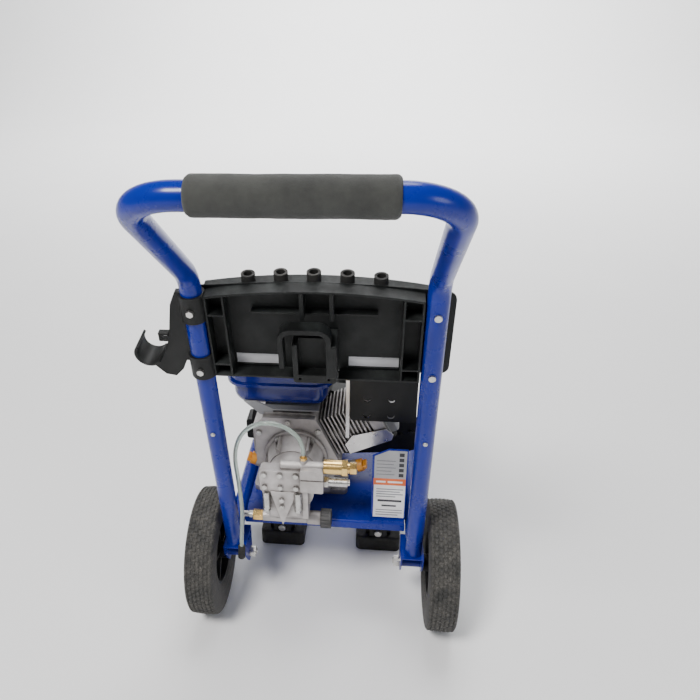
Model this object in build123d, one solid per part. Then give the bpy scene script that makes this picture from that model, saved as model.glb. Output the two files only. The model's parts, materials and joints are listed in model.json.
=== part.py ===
from build123d import *
import os
from math import cos, degrees, pi, radians, sin, tan

# Petrol pressure washer on a two-wheel hand truck, in millimetres.
# Origin: on the floor, midway between the wheels and under the axle line.
# +X is to the right as seen by the user behind the handle, +Y points away from the user, +Z is up.

# ---- wheels and axle ----
wheel_radius = 127.0
tyre_width = 58.0
wheel_track = 462.0
rim_radius = 68.0
rim_width = 46.0
hub_radius = 17.0
axle_radius = 6.0
running_clearance = 0.05

# ---- tube frame ----
tube_radius = 16.0
tube_wall = 2.0
upright_spacing = 352.0
upright_foot_y = -23.0
upright_foot_z = 179.0
upright_lean = 10.25
joint_height = 269.0
kink_height = 624.0
stub_length = 76.0
stub_clearance = 0.2
handle_reach = 220.0
handle_rise = 177.0
kink_radius = 70.0
corner_radius = 65.0
grip_radius = 22.0
grip_length = 212.0
grip_shift = 5.5
button_radius = 4.0
button_height = 318.0
button_stand = 3.0

# ---- base ----
rail_z = 200.0
base_front_y = 360.0
base_corner_radius = 60.0
deck_top = 218.0
deck_sheet = 2.5
deck_rear_y = 7.0
deck_front_y = 340.0
deck_lip = 18.0
weld_gap = 2.0
plate_left_x = 92.0
plate_top_z = 388.0
plate_y = 20.0
plate_sheet = 2.0

# ---- axle bracket ----
bracket_sheet = 3.0
bracket_inner_x = 152.0
bracket_outer_x = 196.0
bracket_top = 176.0

# ---- feet ----
foot_x = 110.0
foot_width = 100.0
foot_rear_y = 150.0
foot_length = 95.0
foot_height = 38.0
leg_sheet = 3.0
leg_width = 56.0

# ---- engine ----
crank_x = -60.0
shaft_height = 106.0
crank_z = deck_top + shaft_height
pto_y = 72.0
cover_thickness = 12.0
case_top = 92.0
case_length = 94.0
blower_length = 97.0
recoil_length = 40.0
blower_radius = 108.0
crank_radius = 12.5
case_cavity_radius = 68.0
cylinder_tilt = 25.0
bore_radius = 34.0
cylinder_seat = 73.0
fin_count = 11
fin_pitch = 8.0
fin_thickness = 3.0
guard_bottom_z = 408.0
guard_top_z = 502.0
outlet_z = 472.0
stroke = 54.0

# ---- tank ----
tank_left_x = -196.0
tank_right_x = 16.0
tank_rear_y = 75.0
tank_front_y = 262.0
tank_bottom_z = 424.0
tank_seam_z = 479.0
tank_top_z = 528.0
tank_corner_radius = 44.0
tank_rim = 5.0
tank_wall = 2.0
tank_lower_inset = 12.0
cap_radius = 27.0
neck_radius = 18.0

# ---- pump ----
bell_radius = 60.0
bell_length = 50.0
bell_bolt_x = 32.5
bell_bolt_z = 44.0
head_y = -35.0
manifold_y = -5.0
manifold_z = 233.0
manifold_radius = 11.5
manifold_left_x = -118.0
manifold_right_x = -5.0
manifold_collar_x = -30.0
unloader_z = 384.0
unloader_radius = 13.0
adjuster_radius = 3.95
adapter_length = 20.0
nipple_radius = 6.0
spigot_radius = 8.0
cap_rod_radius = 7.0
cap_seat_radius = 7.5
plug_radius = 8.5
plug_z = crank_z + 26.0
hose_thread_radius = 12.9
swivel_radius = 19.0
swivel_length = 21.0
plunger_radius = 7.0

# ---- control panel, in the plane of the uprights ----
panel_half = 158.0
panel_flange_half = 203.0
panel_bottom = 443.0
panel_top_side = 592.0
panel_top_middle = 605.0
panel_rear = 8.0
panel_wall = 3.0
panel_box_half = 130.0
nozzle_pitch = 48.0
nozzle_outer = 10.5
nozzle_hole = 6.5
nozzle_seat = -28.0
nozzle_bore_length = 96.0
rack_half = 166.0
rack_depth = 26.0
rack_low = 562.0
rack_drop = 5.0

# ---- hose hook, in the same plane ----
hook_left = -51.0
hook_right = 27.0
hook_top = 553.0
hook_bottom = 482.0
hook_sheet = 7.5
hook_block_top = 519.0

# ---- siphon hose ----
hose_radius = 4.0
hose_route = [
    (-32, -35, 408),
    (-32, -35, 436),
    (-57, -38, 468),
    (-98, -38, 480),
    (-140, -36, 457),
    (-160, -34, 404),
    (-152, -44, 342),
    (-147, -55, 284),
    (-151, -60, 238),
    (-153, -62, 204),
]

crank_y = pto_y + cover_thickness + case_length / 2
case_rear_y = pto_y + cover_thickness
case_front_y = case_rear_y + case_length
blower_front_y = case_front_y + blower_length
recoil_front_y = blower_front_y + recoil_length
wheel_x = wheel_track / 2
upright_x = upright_spacing / 2
lean_angle = radians(upright_lean)
tube_bore = tube_radius - tube_wall
panel_skin = -tube_radius - 0.3

LEAN = Plane(
    origin=(0, upright_foot_y, upright_foot_z),
    x_dir=(1, 0, 0),
    z_dir=(0, -cos(lean_angle), -sin(lean_angle)),
)
TILT = Plane(
    origin=(crank_x, crank_y, crank_z),
    x_dir=(cos(radians(cylinder_tilt)), 0, sin(radians(cylinder_tilt))),
    z_dir=(0, -1, 0),
)


def block(x0, x1, y0, y1, z0, z1):
    """An upright box between two corners."""
    centre = ((x0 + x1) / 2, (y0 + y1) / 2, (z0 + z1) / 2)
    return Pos(*centre) * Box(abs(x1 - x0), abs(y1 - y0), abs(z1 - z0))


def rod(start, end, radius):
    """A round bar from one point to another."""
    start, end = Vector(*start), Vector(*end)
    place = Plane(origin=start, z_dir=end - start)
    return extrude(place * Circle(radius), (end - start).length)


def hex_bar(start, end, across_flats):
    """A hexagonal bar from one point to another."""
    start, end = Vector(*start), Vector(*end)
    place = Plane(origin=start, z_dir=end - start)
    corner = across_flats / 2 / cos(pi / 6)
    return extrude(place * RegularPolygon(corner, 6), (end - start).length)


def outline(points, plane, depth):
    """A flat outline pushed out along the plane's normal."""
    return extrude(plane * make_face(Polyline(*points, close=True)), depth)


def side(y):
    """The plane across the machine at y, drawn as (x, z), with its normal towards the user."""
    return Plane(origin=(0, y, 0), x_dir=(1, 0, 0), z_dir=(0, -1, 0))


def tube_path(points, radii, outer, inner):
    """A round tube, or a bar if it has no bore, along straight runs joined by tangent arcs."""
    path = FilletPolyline(*points, radius=radii)
    place = Plane(origin=path @ 0, z_dir=path % 0)
    section = Circle(outer) - Circle(inner) if inner else Circle(outer)
    return sweep(place * section, path=path)


def on_lean(x, along, out):
    """A point given across, up along the uprights, and out towards the user."""
    return LEAN.from_local_coords(Vector(x, along, out))


def along_x(x0, x1, y, z, radius):
    """A round bar parallel to the X axis."""
    return rod((x0, y, z), (x1, y, z), radius)


def on_crank(y0, y1, radius):
    """A round bar on the crank line between two distances from the user."""
    return rod((crank_x, y0, crank_z), (crank_x, y1, crank_z), radius)


def mirrored(shape):
    """The same shape on the other side of the centre plane."""
    return mirror(shape, Plane.YZ)


# ------------------------------------------------------------------ wheels
def tyre():
    """Right-hand tyre, centred on its own axle line at x = 0."""
    half = tyre_width / 2
    seat = rim_width / 2
    profile = Plane.XZ * make_face(
        Polyline(
            (-seat, rim_radius), (-seat - 3, rim_radius + 6), (-half, rim_radius + 24),
            (-half, wheel_radius - 16), (-half + 8, wheel_radius - 3), (-half + 16, wheel_radius),
            (half - 16, wheel_radius), (half - 8, wheel_radius - 3), (half, wheel_radius - 16),
            (half, rim_radius + 24), (seat + 3, rim_radius + 6), (seat, rim_radius), close=True,
        )
    )
    return revolve(profile, Axis.X)


def rim():
    """Right-hand wheel centre: rim barrel, dished web with ribs, and hub."""
    seat = rim_width / 2
    barrel = rod((-seat, 0, 0), (seat, 0, 0), rim_radius) - rod((-seat, 0, 0), (seat, 0, 0), rim_radius - 5)
    web = rod((-3, 0, 0), (3, 0, 0), rim_radius - 4)
    hub = rod((-hub_reach(), 0, 0), (hub_end(), 0, 0), hub_radius)
    wheel = barrel + web + hub
    for turn in range(5):
        spoke = block(-seat + 4, seat - 4, -3, 3, hub_radius - 2, rim_radius - 4)
        wheel += Rot(X=72 * turn) * spoke
    return wheel - rod((-hub_reach() - 1, 0, 0), (hub_end() + 1, 0, 0), axle_radius + running_clearance)


def hub_reach():
    """How far the hub stands from the wheel's middle towards the bracket."""
    return wheel_x - bracket_outer_x - 3.0


def hub_end():
    """How far the hub stands from the wheel's middle towards the outside."""
    return tyre_width / 2 - 9.0


def at_wheel(shape):
    return Pos(wheel_x, 0, wheel_radius) * shape


# ------------------------------------------------------------------ frame
def lower_upright():
    """Right lower upright: tube, swaged stub, and the welded bracket that holds the axle bolt."""
    top = joint_height + stub_length
    leg = LEAN.location * Pos(upright_x, joint_height / 2 - 10, 0) * Rot(X=90) * Cylinder(
        tube_radius, joint_height + 20)
    stub = LEAN.location * Pos(upright_x, (joint_height + top) / 2, 0) * Rot(X=90) * Cylinder(
        tube_bore - stub_clearance, stub_length)
    hollow = LEAN.location * Pos(upright_x, top / 2, 0) * Rot(X=90) * Cylinder(
        tube_bore - stub_clearance - tube_wall, top + 60)
    below = block(0, 2 * upright_x, -200, 200, bracket_top - 100, bracket_top)
    leg = leg + stub - hollow - below
    hole = rod(on_lean(upright_x, button_height, 0), on_lean(upright_x, button_height, tube_radius),
               button_radius)
    return leg - hole + axle_bracket()


def axle_bracket():
    """U-shaped bracket with two cheeks and a spacer tube round the axle bolt."""
    roof = block(bracket_inner_x, bracket_outer_x, -42, 24, bracket_top - bracket_sheet, bracket_top)
    cheek = [(-42, bracket_top), (24, bracket_top), (20, wheel_radius - 4), (10, wheel_radius - 16),
             (-10, wheel_radius - 16), (-20, wheel_radius - 4), (-38, wheel_radius + 26)]
    plane = Plane(origin=(bracket_inner_x, 0, 0), x_dir=(0, 1, 0), z_dir=(1, 0, 0))
    inner = outline(cheek, plane, bracket_sheet)
    outer = Pos(bracket_outer_x - bracket_inner_x - bracket_sheet, 0, 0) * inner
    axle_line = (bracket_inner_x, 0, wheel_radius), (bracket_outer_x, 0, wheel_radius)
    spacer = rod(*axle_line, axle_radius + 4)
    return roof + inner + outer + spacer - rod(*axle_line, axle_radius + 0.3)


def axle_bolt():
    """Right axle bolt: shank, hex head outside the wheel, washer between hub and bracket."""
    head_x = wheel_x + hub_end() + 1.0
    shank = rod((bracket_inner_x - 14, 0, wheel_radius), (head_x, 0, wheel_radius), axle_radius)
    head = hex_bar((head_x, 0, wheel_radius), (head_x + 8, 0, wheel_radius), 19)
    collar = rod((bracket_outer_x, 0, wheel_radius), (bracket_outer_x + 2.5, 0, wheel_radius), 12)
    return shank + head + collar


def axle_nut():
    """Right axle nut and washer on the inner side of the bracket."""
    face = bracket_inner_x
    washer = rod((face - 2, 0, wheel_radius), (face, 0, wheel_radius), 11)
    nut = hex_bar((face - 12, 0, wheel_radius), (face - 2, 0, wheel_radius), 19)
    bore = rod((face - 13, 0, wheel_radius), (face + 1, 0, wheel_radius), axle_radius)
    return washer + nut - bore


def base_loop():
    """Bent tube that runs forward from one upright, round the front, and back to the other."""
    loop = tube_path(base_loop_points(), base_corner_radius, tube_radius, tube_bore)
    for x in (-upright_x, upright_x):
        cope = LEAN.location * Pos(x, 60, 0) * Rot(X=90) * Cylinder(tube_radius, 200)
        loop -= cope
    return loop


def deck_tray():
    """Folded sheet tray that carries the engine between the two rails."""
    half = upright_x - tube_radius - weld_gap
    tray = block(-half, half, deck_rear_y, deck_front_y, deck_top - deck_lip, deck_top)
    tray = fillet(tray.edges().group_by(Axis.Z)[-1], 4)
    inside = block(-half + deck_sheet, half - deck_sheet, deck_rear_y + deck_sheet,
                   deck_front_y - deck_sheet, deck_top - deck_lip - 1, deck_top - deck_sheet)
    tray -= inside
    tab = block(half, half + weld_gap, 40, 70, deck_top - deck_lip, deck_top - 8)
    for x, y in ((0, 0), (0, 230)):
        tray += Pos(x, y, 0) * tab + mirrored(Pos(x, y, 0) * tab)
    for x, y in engine_bolt_places():
        tray -= rod((x, y, deck_top - 40), (x, y, deck_top + 1), 4.3)
    return tray - base_loop_envelope() + label_plate()


def base_loop_envelope():
    """The space the bent tube takes, so that the tray and its weld tabs end on it."""
    return tube_path(base_loop_points(), base_corner_radius, tube_radius, 0)


def base_loop_points():
    rear = upright_foot_y + 8
    return [(-upright_x, rear, rail_z), (-upright_x, base_front_y, rail_z),
            (upright_x, base_front_y, rail_z), (upright_x, rear, rail_z)]


def label_plate():
    """Upright blue sheet that stands on the tray beside the pump and carries the decal."""
    left, right = plate_left_x, upright_x - tube_radius - weld_gap
    shape = [(left, deck_top), (right, deck_top), (right, plate_top_z),
             (left + 30, plate_top_z), (left, plate_top_z - 16)]
    sheet = outline(shape, side(plate_y + plate_sheet), plate_sheet)
    foot = block(left, right, plate_y + plate_sheet, plate_y + 24, deck_top, deck_top + plate_sheet)
    return sheet + foot


def foot_leg():
    """Right front leg: channel that hangs from the tray and holds the rubber foot."""
    left, right = foot_x - leg_width / 2, foot_x + leg_width / 2
    rear = foot_rear_y + 14
    top = deck_top - deck_sheet
    web = block(left, right, rear, rear + leg_sheet, 12, top)
    sides = block(left, left + leg_sheet, rear, rear + 30, 12, top)
    sides += block(right - leg_sheet, right, rear, rear + 30, 12, top)
    return web + sides - rod((foot_x, rear - 1, 48), (foot_x, rear + 9, 48), 4.2)


def rubber_foot():
    """Right rubber foot: block with a slot for the leg and a raised tab for its bolt."""
    left, right = foot_x - foot_width / 2, foot_x + foot_width / 2
    front = foot_rear_y + foot_length
    pad = block(left, right, foot_rear_y, front, 0, foot_height)
    pad = fillet(pad.edges().filter_by(Axis.Z), 12)
    pad = fillet(pad.edges().group_by(Axis.Z)[-1], 5)
    rear = foot_rear_y + 14
    tab = block(foot_x - 20, foot_x + 20, rear - 9, rear, 0, 64)
    tab = fillet(tab.edges().filter_by(Axis.Y).group_by(Axis.Z)[-1], 12)
    slot = block(foot_x - leg_width / 2 - 0.3, foot_x + leg_width / 2 + 0.3, rear, rear + 30.3,
                 11.7, foot_height + 1)
    return pad + tab - slot - rod((foot_x, 0, 48), (foot_x, 400, 48), 4.2)


def foot_bolt():
    """Right foot bolt through the rubber tab and the leg."""
    rear = foot_rear_y + 14
    shank = rod((foot_x, rear - 9, 48), (foot_x, rear + 14, 48), 4)
    head = rod((foot_x, rear - 14, 48), (foot_x, rear - 9, 48), 8.5)
    nut = hex_bar((foot_x, rear + leg_sheet, 48), (foot_x, rear + leg_sheet + 7, 48), 13)
    return shank + fillet(head.edges().group_by(Axis.Y)[0], 3) + nut


def frame_fasteners():
    """Both axle nuts and both foot bolts."""
    right = axle_nut() + foot_bolt()
    return right + mirrored(right)


# ------------------------------------------------------------------ handle
def handle_points():
    foot = on_lean(upright_x, joint_height, 0)
    kink = on_lean(upright_x, kink_height, 0)
    corner = Vector(upright_x, kink.Y - handle_reach, kink.Z + handle_rise)
    right = [foot, kink, corner]
    left = [Vector(-p.X, p.Y, p.Z) for p in reversed(right)]
    return right + left


def handle_tube():
    """Push handle: one bent tube that sits on the two stubs."""
    radii = [kink_radius, corner_radius, corner_radius, kink_radius]
    handle = tube_path(handle_points(), radii, tube_radius, tube_bore)
    for x in (-upright_x, upright_x):
        handle -= rod(on_lean(x, button_height, 0), on_lean(x, button_height, tube_radius + 2),
                      button_radius)
        for along in screw_heights():
            handle -= rod(on_lean(x, along, -tube_radius - 2), on_lean(x, along, tube_radius + 2), 2.6)
    return handle


def screw_heights():
    return (panel_bottom + 18, panel_top_side - 20)


def foam_grip():
    """Foam sleeve on the middle of the handle."""
    corner = handle_points()[2]
    half = grip_length / 2
    line = (grip_shift - half, corner.Y, corner.Z), (grip_shift + half, corner.Y, corner.Z)
    sleeve = rod(*line, grip_radius)
    sleeve = fillet(sleeve.edges(), 4)
    return sleeve - rod(*line, tube_radius)


def snap_button(x):
    """Spring button that locks the handle on its stub."""
    pin = rod(on_lean(x, button_height, 6), on_lean(x, button_height, tube_radius + button_stand),
              button_radius - 0.08)
    tip = on_lean(x, button_height, tube_radius + button_stand)
    rims = pin.edges().filter_by(GeomType.CIRCLE)
    return fillet(rims.sort_by_distance(tip)[0], 2)


# ------------------------------------------------------------------ control panel
def panel_outline(half_width, inset=0.0):
    """The panel's shape in the plane of the uprights, with its arched top."""
    bottom, shoulder = panel_bottom + inset, panel_top_side - inset
    crown = panel_top_middle - inset
    sides = Polyline((half_width, shoulder), (half_width, bottom), (-half_width, bottom),
                     (-half_width, shoulder))
    arch = ThreePointArc((-half_width, shoulder), (0, crown), (half_width, shoulder))
    return make_face(Curve() + sides + arch)


def lean_box(x0, x1, low, high, back, front):
    """A box given across, along the uprights and out towards the user."""
    return LEAN.location * block(x0, x1, low, high, back, front)


def control_panel():
    """Moulded skin in front of the uprights, with two windows for the bright strip."""
    skin = extrude(Pos(0, 0, panel_skin - panel_wall) * panel_outline(panel_flange_half), panel_wall)
    skin = fillet(skin.edges().filter_by(Axis.Z), 14)
    for x0, x1 in ((-126, -52), (50, 127)):
        skin -= block(x0, x1, panel_bottom + 7, panel_bottom + 28, panel_skin - 10, panel_skin)
    return LEAN.location * (skin - nozzle_bores()) - panel_screw_holes()


def panel_walls():
    """Walls, ribs and ledge that stand on the skin and make a tray open towards the user."""
    depth = panel_rear - panel_skin
    body = extrude(Pos(0, 0, panel_skin) * panel_outline(panel_half), depth)
    body -= extrude(Pos(0, 0, panel_skin) * panel_outline(panel_half - panel_wall, panel_wall), depth)
    for x in (-panel_box_half, panel_box_half):
        body += block(x - 1.5, x + 1.5, panel_bottom, panel_top_side, panel_skin, panel_rear)
    for x in (-16, 27):
        body += block(x - 3, x + 3, hook_top + 2, panel_top_middle - 4, panel_skin, panel_rear)
    for low in (panel_bottom + 22, panel_top_side - 34):
        for x0, x1 in ((-panel_half, -panel_box_half), (panel_box_half, panel_half)):
            body += block(x0, x1, low, low + 3, panel_skin, panel_rear)
    body += block(-93, 93, hook_top + 4, hook_top + 6.5, panel_skin, panel_skin + 12)
    return LEAN.location * (body - nozzle_bores() - hook_clearance())


def hook_clearance():
    """Nothing of the tray stands where the hose hook is screwed on."""
    return block(-34, 36, panel_bottom - 1, hook_block_top + 2, panel_skin, panel_rear + 1)


def panel_screw_holes():
    holes = Part()
    for x in (-upright_x, upright_x):
        for along in screw_heights():
            holes += rod(on_lean(x, along, -40), on_lean(x, along, 0), 2.6)
    return holes


def nozzle_places():
    return [nozzle_pitch * step for step in (-2, -1, 0, 1, 2)]


def nozzle_bores():
    """The five round spaces that the sockets fill."""
    bore = Rot(X=90) * Cylinder(nozzle_outer, nozzle_bore_length)
    return Part() + [Pos(x, panel_top_middle, nozzle_seat) * bore for x in nozzle_places()]


def nozzle_rack():
    """Hollow ledge on the panel's front that carries the nozzle sockets, open underneath."""
    back = panel_skin - panel_wall
    shape = rack_outline(0)
    space = rack_outline(panel_wall)
    rack = extrude(Pos(0, 0, back - rack_depth) * shape, rack_depth)
    rack -= extrude(Pos(0, 0, back - rack_depth + panel_wall) * space, rack_depth)
    for x in nozzle_places():
        rack += Pos(x, arch_height(x) - rack_drop - 13, nozzle_seat) * Rot(X=90) * Cylinder(
            nozzle_outer + 2.5, 24) & extrude(Pos(0, 0, back - rack_depth) * shape, rack_depth)
    return LEAN.location * (rack - nozzle_bores())


def rack_outline(inset):
    """The ledge's shape in the plane of the uprights, drawn in at the top and ends by an inset."""
    half = rack_half - inset
    low = rack_low - inset
    shoulder = panel_top_side - rack_drop - 1 - inset
    crown = panel_top_middle - rack_drop - inset
    sides = Polyline((half, shoulder), (half, low), (-half, low), (-half, shoulder))
    return make_face(Curve() + sides + ThreePointArc((-half, shoulder), (0, crown), (half, shoulder)))


def arch_height(x):
    """Height of the panel's arched top at a distance from the middle."""
    rise = panel_top_middle - panel_top_side
    radius = (panel_half ** 2 + rise ** 2) / (2 * rise)
    return panel_top_middle - radius + (radius ** 2 - x ** 2) ** 0.5


def nozzle_grommets():
    """Five rubber sockets for spray nozzles along the panel's top edge."""
    group = Part()
    for x in nozzle_places():
        low, high = arch_height(x) - 11, arch_height(x) + 11
        place = Pos(x, (low + high) / 2, nozzle_seat) * Rot(X=-90)
        socket = Cylinder(nozzle_outer - 0.05, high - low) - Pos(0, 0, 3) * Cylinder(nozzle_hole, high - low)
        group += LEAN.location * place * socket
    return group


def trim_strip():
    """Bright strip on the panel's front that shows through its two lower windows."""
    back = panel_skin - panel_wall
    half = panel_half - 18
    return lean_box(-half, half, panel_bottom + 4, panel_bottom + 31, back - 1.5, back)


def hose_hook():
    """Hose hook: screwed base block with a strap bent over into an arch that is open on its left."""
    base = block(-32, 33, panel_bottom + 3, hook_block_top, panel_skin, panel_rear + 12)
    base = fillet(base.edges().filter_by(Axis.Z), 5)
    base -= block(-24, 22, panel_bottom + 18, hook_block_top + 9, panel_rear - 6, panel_rear + 13)
    low, corner = hook_bottom, 20
    width, middle = hook_right - hook_left, (hook_left + hook_right) / 2
    tall = hook_top - low + corner
    arch = Pos(middle, hook_top - tall / 2, 0) * RectangleRounded(width, tall, corner)
    arch -= Pos(middle, hook_top - hook_sheet - tall / 2, 0) * RectangleRounded(
        width - 2 * hook_sheet, tall, corner - hook_sheet)
    arch -= Pos(middle, low - 50, 0) * Rectangle(2 * width, 100)
    strap = extrude(Pos(0, 0, panel_rear) * arch, 22)
    post = block(hook_right - hook_sheet, 35, panel_bottom + 20, hook_top - 28, panel_skin, panel_rear + 22)
    hook = base + strap + fillet(post.edges().filter_by(Axis.X), 3)
    for x in (-22, 22):
        hook -= Pos(x, panel_bottom + 10, 0) * Cylinder(2.4, 80)
    return LEAN.location * hook


def gun_holder():
    """Spray-gun cradle on the left upright, with its two tube clamps and side plate."""
    x0 = -upright_x
    ring = tube_radius + 4
    clamps = Part()
    for low, high in clamp_spans():
        band = Pos(x0, (low + high) / 2, 0) * Rot(X=90) * Cylinder(ring, high - low)
        band += block(x0, x0 + 24, low + 3, high - 3, -ring, panel_skin)
        clamps += band
    plate = Polyline((x0 - 12, 597), (x0 - 24, 597), (x0 - 34, 575), (x0 - 46, 512), (x0 - 60, 478),
                     (x0 - 84, 478), (x0 - 78, 458), (x0 - 62, 440), (x0 - 46, 437), (x0 - 32, 452),
                     (x0 - 24, 470), (x0 - 12, 470), close=True)
    web = extrude(Pos(0, 0, -6) * make_face(plate), 10)
    cx, cy = x0 - 73, 500
    trough = Pos(cx, cy, 0) * (Circle(22) - Circle(18))
    cut = Pos(cx, cy, 0) * Rot(Z=-40) * Pos(0, 30, 0) * Rectangle(80, 60)
    trough = extrude(Pos(0, 0, -14) * (trough - cut), 44)
    lug = block(x0 - 62, x0 - 46, 506, 521, -6, 4) - block(x0 - 58, x0 - 49, 509, 517, -7, 5)
    holder = clamps + web + trough + lug
    holder -= Pos(x0, 520, 0) * Rot(X=90) * Cylinder(tube_radius, 300)
    for along in screw_heights():
        holder -= Pos(x0, along, 0) * Cylinder(2.6, 80)
    solid = LEAN.location * holder
    return solid - control_panel_space()


def clamp_spans():
    return ((panel_bottom, panel_bottom + 42), (panel_top_side - 42, panel_top_side + 3))


def control_panel_space():
    """The flat space of the panel's skin and tray, which the clamps stop against."""
    skin = block(-panel_flange_half - 90, panel_flange_half, panel_bottom - 20, panel_top_middle,
                 panel_skin - 60, panel_skin)
    tray = block(-panel_half, panel_half, panel_bottom - 2, panel_top_middle, panel_skin, panel_rear)
    return LEAN.location * (skin + tray)


def panel_screws():
    """Two hex screws on the left clamps and two domed screws through the right upright."""
    group = Part()
    for along in screw_heights():
        face = tube_radius + 4
        group += rod(on_lean(-upright_x, along, panel_skin - 3), on_lean(-upright_x, along, face), 2.5)
        group += hex_bar(on_lean(-upright_x, along, face), on_lean(-upright_x, along, face + 5), 10)
        face = tube_radius
        group += rod(on_lean(upright_x, along, panel_skin - 3), on_lean(upright_x, along, face), 2.5)
        head = rod(on_lean(upright_x, along, face - 1), on_lean(upright_x, along, face + 3.5), 5.5)
        ring = rod(on_lean(upright_x, along, -60), on_lean(upright_x, along, 60), 100)
        tube = LEAN.location * Pos(upright_x, along, 0) * Rot(X=90) * Cylinder(tube_radius, 60)
        group += (head & ring) - tube
    return group


# ------------------------------------------------------------------ engine
def engine_bolt_places():
    return [(crank_x + dx, case_rear_y + dy) for dx in (-77, 87) for dy in (12, 82)]


def case_shape():
    """Outline of the case, closed on its right by the tilted seat of the cylinder."""
    high = TILT.from_local_coords(Vector(cylinder_seat, 60, 0))
    low = TILT.from_local_coords(Vector(cylinder_seat, -60, 0))
    return [(crank_x - 58, deck_top + 12), (crank_x - 58, deck_top + 74), (crank_x - 86, deck_top + 96),
            (crank_x - 86, crank_z + case_top - 32), (crank_x - 60, crank_z + case_top),
            (crank_x + 30, crank_z + case_top),
            (high.X, high.Z), (low.X, low.Z), (crank_x + 68, deck_top + 44),
            (crank_x + 68, deck_top + 12)]


def case_space():
    """The block that the case and its side cover fill, for pieces that end on it."""
    return outline(case_shape(), side(case_front_y), case_front_y - pto_y)


def crankcase():
    """Cast crankcase with its base flange, shaft bearing and two filler necks."""
    body = outline(case_shape(), side(case_front_y), case_length)
    body = fillet(body.edges().filter_by(Axis.Y), 9)
    foot = block(crank_x - 92, crank_x + 102, case_rear_y, case_front_y, deck_top, deck_top + 12)
    foot = fillet(foot.edges().filter_by(Axis.Z), 10)
    body += foot
    for start, end in (oil_port(-1), oil_port(1)):
        body += rod(start, end, 14)
    body -= rod((crank_x, case_rear_y, crank_z), (crank_x, case_front_y - 12, crank_z), case_cavity_radius)
    body -= rod((crank_x, case_rear_y, crank_z), (crank_x, case_front_y, crank_z),
                crank_radius + running_clearance)
    body -= TILT.location * Pos(80, 0, 0) * Rot(Y=90) * Cylinder(bore_radius, 120)
    for start, end in (oil_port(-1), oil_port(1)):
        axis = (Vector(*end) - Vector(*start)).normalized()
        inside = Vector(*start) - axis * 30
        body -= rod(tuple(inside), end, 9)
    for x, y in engine_bolt_places():
        body -= rod((x, y, deck_top - 1), (x, y, deck_top + 30), 4.3)
    return body


def oil_port(hand):
    """Ends of the filler neck on the left (-1) or right (+1) of the case, low on its rear half."""
    length, drop = (17, 44) if hand < 0 else (55, 62)
    start = Vector(crank_x + hand * 70, case_rear_y + 18, crank_z - drop)
    end = start + Vector(hand * 0.94, 0, 0.34) * length
    return tuple(start), tuple(end)


def oil_cap(hand):
    """Yellow filler cap with a grip bar and a stem that turns in the filler neck."""
    start, end = (Vector(*p) for p in oil_port(hand))
    axis = (end - start).normalized()
    seat = end + axis * 0.3
    stem = rod(tuple(end - axis * 16), tuple(seat + axis), 8.92)
    body = rod(tuple(seat), tuple(seat + axis * 12), 13)
    bar = Plane(origin=seat + axis * 12, z_dir=axis)
    grip = extrude(bar * Rectangle(8, 24), 8)
    return stem + body + fillet(grip.edges(), 2)


def crankcase_cover():
    """Cast side cover that closes the case and carries the pump."""
    points = case_shape()
    plate = outline(points, side(case_rear_y), cover_thickness)
    plate = fillet(plate.edges().filter_by(Axis.Y), 9)
    plate &= block(crank_x - 80, crank_x + 84, 0, case_rear_y, deck_top + 16, crank_z + case_top - 5)
    ring = rod((crank_x, pto_y, crank_z), (crank_x, case_rear_y, crank_z), bell_radius + 8)
    plate += ring
    bore = rod((crank_x, 0, crank_z), (crank_x, 200, crank_z), crank_radius + running_clearance)
    for x, z in cover_bolt_places() + bell_bolt_places():
        bore += rod((x, pto_y - 1, z), (x, case_rear_y + 1, z), 3.1)
    return plate - bore


def cover_bolt_places():
    steps = (-72, 52), (-48, -62), (-14, 78), (45, 60), (72, -14), (30, -74)
    return [(crank_x + dx, crank_z + dz) for dx, dz in steps]


def bell_bolt_places():
    return [(crank_x + sx * bell_bolt_x, crank_z + sz * bell_bolt_z) for sx in (-1, 1) for sz in (-1, 1)]


def flange_bolts():
    """Bolts of the side cover and of the pump flange."""
    group = Part()
    for x, z in cover_bolt_places():
        group += rod((x, pto_y, z), (x, case_rear_y, z), 3)
        group += hex_bar((x, pto_y - 5, z), (x, pto_y, z), 10)
    for x, z in bell_bolt_places():
        face = pto_y - 8
        group += rod((x, face, z), (x, case_rear_y, z), 3)
        group += hex_bar((x, face - 6, z), (x, face, z), 11)
    for x, z in head_bolt_places():
        group += hex_bar((x, head_y - 20, z), (x, head_y - 15, z), 9)
    for z in (crank_z - 8, crank_z - 24):
        group += hex_bar((-72, head_y - 22, z), (-72, head_y - 17, z), 8)
    return group


def head_bolt_places():
    return [(x, crank_z + dz) for dz in (48, 20) for x in (-103, -74, -45)]


def cylinder_barrel():
    """Finned cylinder and head, square to the crank and tilted up to the right."""
    depth = case_length - 4
    low, high = -40, 50
    body = Pos(cylinder_seat, 0, 0) * Rot(Y=90) * Cylinder(
        40, head_start() - cylinder_seat, align=(Align.CENTER, Align.CENTER, Align.MIN))
    for step in range(fin_count):
        along = cylinder_seat + 2 + step * fin_pitch
        body += block(along, along + fin_thickness, low, high, -depth / 2, depth / 2)
    body += block(head_start(), head_end(), low, high - 28, -depth / 2, depth / 2)
    body -= Pos(cylinder_seat - 1, 0, 0) * Rot(Y=90) * Cylinder(
        bore_radius, 50, align=(Align.CENTER, Align.CENTER, Align.MIN))
    return TILT.location * body - case_space()


def head_start():
    """Distance from the crank line to the cylinder head's inner face."""
    return cylinder_seat + fin_count * fin_pitch + 2


def head_end():
    """Distance from the crank line to the cylinder head's outer face."""
    return head_start() + 24


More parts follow.
